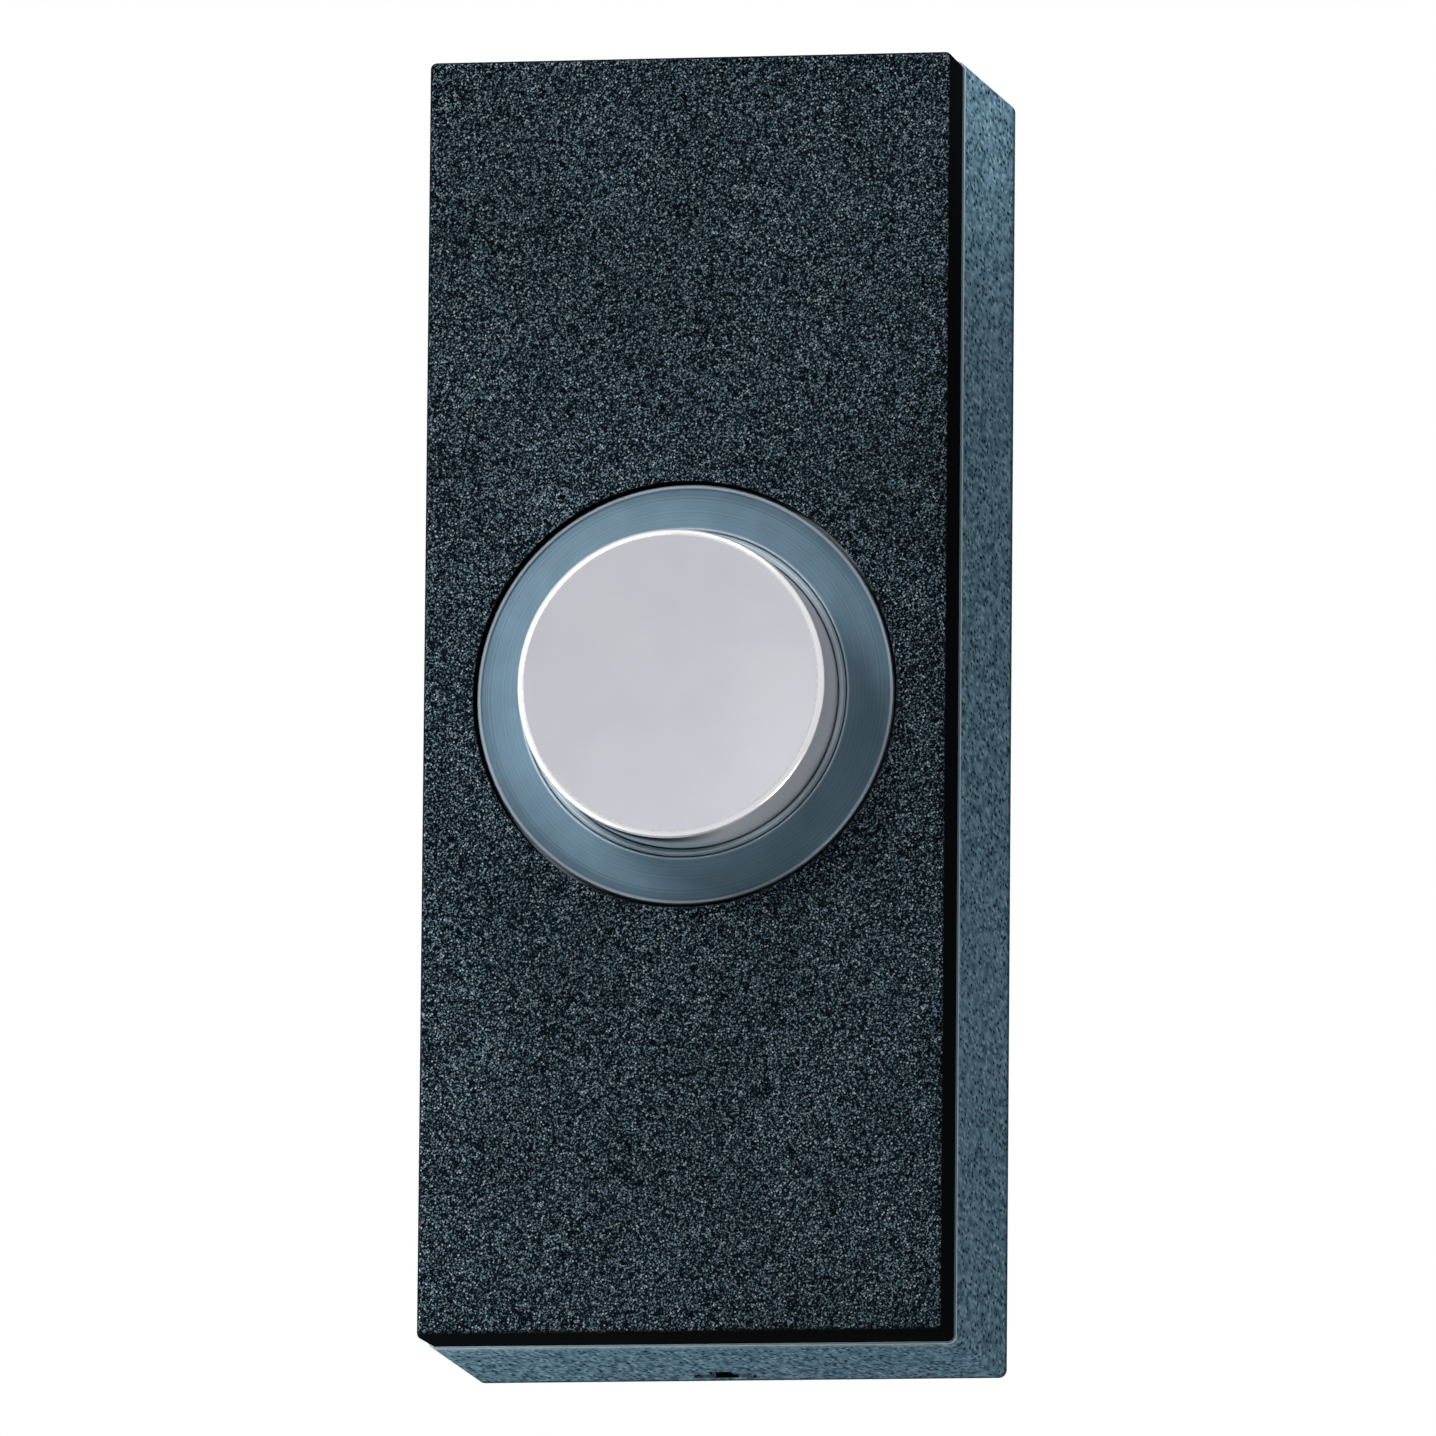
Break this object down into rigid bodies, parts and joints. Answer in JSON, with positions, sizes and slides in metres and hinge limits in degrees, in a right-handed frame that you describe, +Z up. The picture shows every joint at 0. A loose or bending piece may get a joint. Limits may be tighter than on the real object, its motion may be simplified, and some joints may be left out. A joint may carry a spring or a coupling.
{
  "type": "doorbell push button",
  "caption": "Surface-mounted bell push: textured black fascia on a slate housing, with a round pale button in a satin bezel ring that closes a contact pair and springs back",
  "frame": {"origin": "centre of the rear face, in the plane that lies on the wall", "axes": "+Z up as it hangs, the button faces -Y, +X to the right as seen from in front"},
  "size_m": [0.0334, 0.0269, 0.08],
  "materials": {
    "slate_plastic": "matt slate blue-grey with fine dark speckle",
    "textured_black_plastic": "grained near-black with fine pale sparkle",
    "satin_trim": "satin blue-grey",
    "guide_plastic": "satin blue-grey",
    "pale_plastic": "satin pale silver grey",
    "spring_steel": "drawn wire",
    "base_plastic": "matt dark grey",
    "contact_brass": "rolled strip",
    "contact_bronze": "rolled spring strip",
    "contact_silver": "satin",
    "rivet_brass": "set",
    "plated_steel": "zinc plated",
    "screw_steel": "zinc plated"
  },
  "bodies": {
    "bell_push": {"housing": "slate_plastic", "fascia": "textured_black_plastic", "bezel_ring": "satin_trim", "button_guide": "guide_plastic", "return_spring": "spring_steel", "backplate": "base_plastic", "fixed_contact": "contact_brass", "moving_contact": "contact_bronze", "fixed_contact_tip": "contact_silver", "moving_contact_tip": "contact_silver", "contact_rivet_left": "rivet_brass", "contact_rivet_right": "rivet_brass", "clamp_washer_left": "plated_steel", "clamp_washer_right": "plated_steel", "terminal_screw_left": "screw_steel", "terminal_screw_right": "screw_steel", "terminal_nut_left": "contact_brass", "terminal_nut_right": "contact_brass"},
    "push_button": {"button": "pale_plastic"}
  },
  "joints": [
    {"name": "button_press", "type": "slide", "parent": "bell_push", "child": "push_button", "axis": [0, 1, 0], "range_m": [0, 0.0014], "stiffness_N_per_m": 250, "springref_m": -0.006, "deforming": ["return_spring", "moving_contact", "moving_contact_tip"]}
  ]
}
